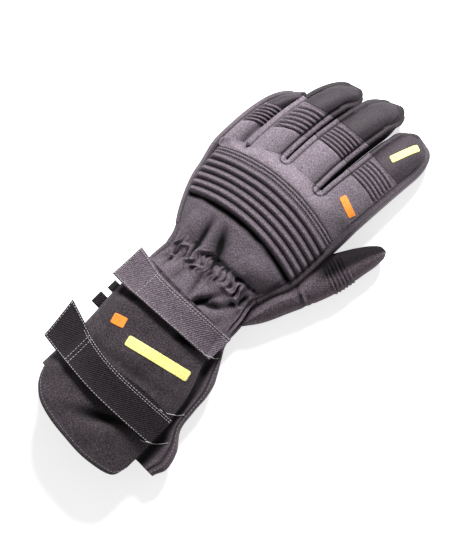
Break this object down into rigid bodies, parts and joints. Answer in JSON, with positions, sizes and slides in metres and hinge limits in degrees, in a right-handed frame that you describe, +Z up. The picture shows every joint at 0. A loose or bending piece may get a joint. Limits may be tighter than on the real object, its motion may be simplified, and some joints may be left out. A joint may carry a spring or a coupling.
{
  "type": "firefighter glove",
  "caption": "Left-hand firefighter glove lying palm down, with ribbed knuckle and finger pads, a gathered wrist and a long gauntlet cuff closed by two straps.",
  "frame": {"origin": "centre of the bounding box in X and Y, on the surface the glove lies on", "axes": "+Y towards the fingertips, +X towards the thumb, +Z up out of the back of the hand"},
  "size_m": [0.1648, 0.3774, 0.0588],
  "materials": {
    "shell": "matte",
    "quilted": "matte",
    "leather": "matte",
    "strap": "matte",
    "label": "satin"
  },
  "bodies": {
    "root": {"hand_back": "shell", "wrist_back": "shell", "gathered_wrist": "shell", "cuff_back": "shell", "cuff_palm": "shell", "cuff_gusset": "shell", "knuckle_pad": "quilted", "ribs_little": "quilted", "ribs_ring": "quilted", "ribs_middle": "quilted", "ribs_index": "quilted", "ribs_thumb": "quilted", "fingertip_little": "leather", "fingertip_ring": "leather", "fingertip_middle": "leather", "fingertip_index": "leather", "fourchette_little_ring": "leather", "fourchette_ring_middle": "leather", "fourchette_middle_index": "leather", "side_little": "leather", "side_index": "leather", "palm": "leather", "thumb": "leather", "upper_strap": "strap", "lower_strap": "strap", "loop": "strap", "label": "label"}
  },
  "joints": []
}
